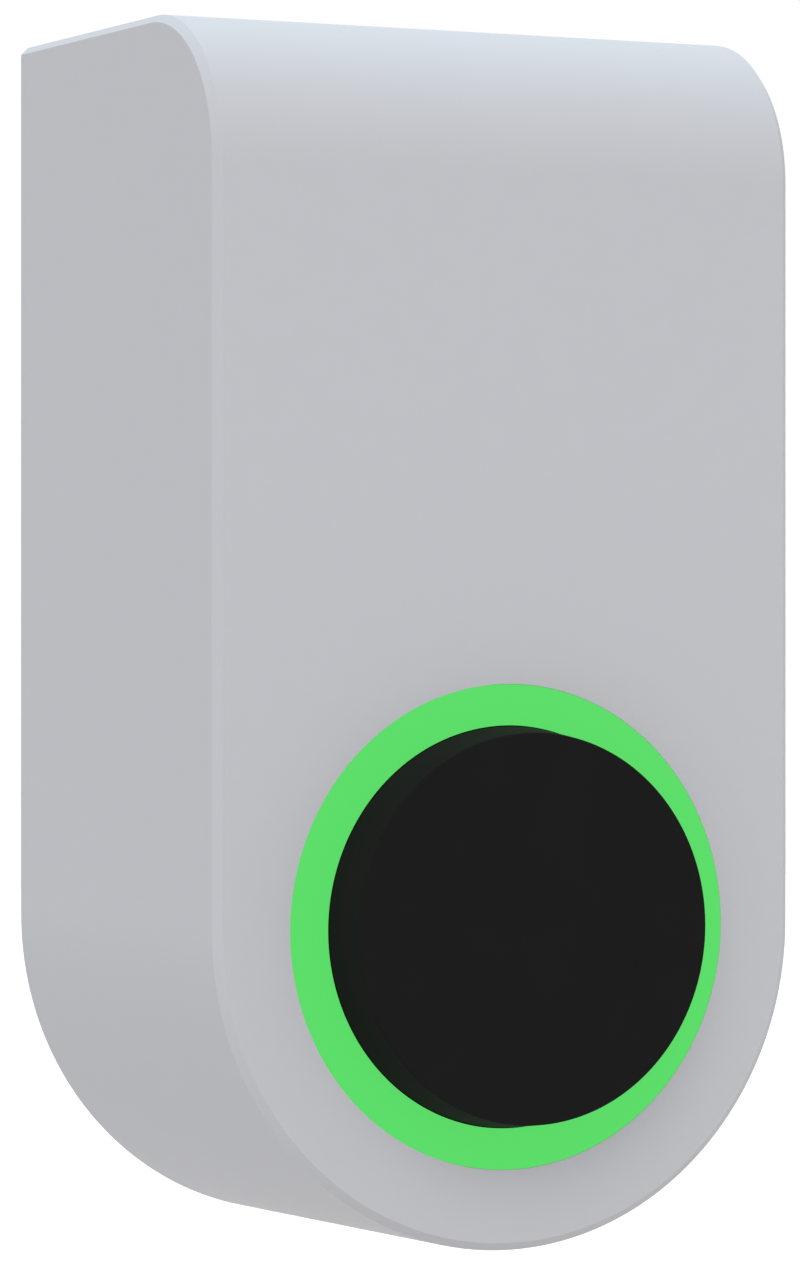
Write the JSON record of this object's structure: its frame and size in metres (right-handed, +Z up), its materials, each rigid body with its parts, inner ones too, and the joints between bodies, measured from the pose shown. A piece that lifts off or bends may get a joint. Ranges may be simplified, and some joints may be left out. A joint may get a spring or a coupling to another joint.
{
  "type": "wall-mounted electric vehicle charging unit",
  "caption": "Compact wall charging unit: deep grey casing with a half-round lower end, a sprung round socket lid inside a status light ring, wall plate and inner electrics.",
  "frame": {"origin": "the centre of the wall plate's back face, which lies on the wall", "axes": "+Z up, +Y into the wall, so the front faces -Y, +X to the right of someone facing the unit"},
  "size_m": [0.192, 0.161, 0.366],
  "materials": {
    "casing_light_grey": "fine matte moulded plastic",
    "tray_dark_grey": "matte moulded plastic",
    "black_plastic": "satin black moulded plastic",
    "light_ring_green": "translucent diffuser, lit green",
    "rubber_black": "soft moulded rubber",
    "zinc_plated_steel": "bright zinc plated",
    "stainless_steel": "bright stainless steel",
    "silvered_brass": "silver plated",
    "circuit_board_green": "solder mask",
    "circuit_board_white": "white solder mask",
    "device_grey": "matte thermoset plastic",
    "toggle_blue": "satin plastic",
    "button_white": "satin plastic",
    "sensor_core_grey": "potted core",
    "busbar_cover_grey": "matte plastic",
    "wire_brown": "wire insulation",
    "wire_black": "wire insulation",
    "wire_grey": "wire insulation",
    "wire_blue": "wire insulation",
    "wire_green_yellow": "wire insulation"
  },
  "bodies": {
    "casing": {"front_cover": "casing_light_grey", "rear_housing": "tray_dark_grey", "housing_seal": "rubber_black", "mounting_plate": "zinc_plated_steel", "housing_lock_screw": "zinc_plated_steel", "cover_screw_left": "stainless_steel", "cover_screw_right": "stainless_steel", "cable_grommet": "rubber_black", "pressure_vent": "tray_dark_grey", "light_ring": "light_ring_green", "led_board": "circuit_board_white", "socket_bezel": "black_plastic", "bezel_screw_1": "zinc_plated_steel", "bezel_screw_2": "zinc_plated_steel", "bezel_screw_3": "zinc_plated_steel", "bezel_screw_4": "zinc_plated_steel", "lid_hinge_pin": "stainless_steel", "lid_spring": "stainless_steel", "socket_body": "black_plastic", "socket_insert": "black_plastic", "contact_l1": "silvered_brass", "contact_l2": "silvered_brass", "contact_l3": "silvered_brass", "contact_n": "silvered_brass", "contact_pe": "silvered_brass", "contact_cp": "silvered_brass", "contact_pp": "silvered_brass", "contact_retainer": "tray_dark_grey", "socket_gasket": "rubber_black", "socket_screw_1": "zinc_plated_steel", "socket_screw_2": "zinc_plated_steel", "socket_screw_3": "zinc_plated_steel", "socket_screw_4": "zinc_plated_steel", "lock_actuator": "black_plastic", "din_rail": "zinc_plated_steel", "din_rail_screw_left": "zinc_plated_steel", "din_rail_screw_right": "zinc_plated_steel", "rcd_body": "device_grey", "contactor_body": "tray_dark_grey", "power_supply": "device_grey", "link_busbar": "busbar_cover_grey", "terminal_block": "device_grey", "leakage_sensor": "sensor_core_grey", "control_board": "circuit_board_green", "rfid_board": "circuit_board_green", "supply_wire_l1": "wire_brown", "supply_wire_l2": "wire_black", "supply_wire_l3": "wire_grey", "supply_wire_n": "wire_blue", "socket_wire_l1": "wire_brown", "socket_wire_l2": "wire_black", "socket_wire_l3": "wire_grey", "socket_wire_n": "wire_blue", "socket_wire_pe": "wire_green_yellow"},
    "lid": {"socket_lid": "black_plastic", "lid_seal": "rubber_black"},
    "lock_bolt": {"lock_pin": "stainless_steel"},
    "breaker_lever": {"rcd_toggle": "toggle_blue"},
    "breaker_test_button": {"rcd_test_button": "button_white"},
    "contactor_armature": {"contactor_armature": "black_plastic"}
  },
  "joints": [
    {"name": "lid_hinge", "type": "hinge", "parent": "casing", "child": "lid", "pos_m": [0.0556, -0.1515, -0.087], "axis": [0, 0, 1], "range_deg": [0, 110], "stiffness_Nm_per_rad": 0.05, "springref_deg": -34.38},
    {"name": "lock_bolt_slide", "type": "slide", "parent": "casing", "child": "lock_bolt", "axis": [0, 0, -1], "range_m": [0, 0.0048]},
    {"name": "breaker_lever_pivot", "type": "hinge", "parent": "casing", "child": "breaker_lever", "pos_m": [-0.031, -0.062, 0.06], "axis": [1, 0, 0], "range_deg": [0, 60]},
    {"name": "breaker_test_press", "type": "slide", "parent": "casing", "child": "breaker_test_button", "axis": [0, 1, 0], "range_m": [0, 0.0019], "stiffness_N_per_m": 500, "springref_m": -0.001},
    {"name": "contactor_armature_slide", "type": "slide", "parent": "casing", "child": "contactor_armature", "axis": [0, 1, 0], "range_m": [0, 0.004], "stiffness_N_per_m": 300, "springref_m": -0.001}
  ]
}
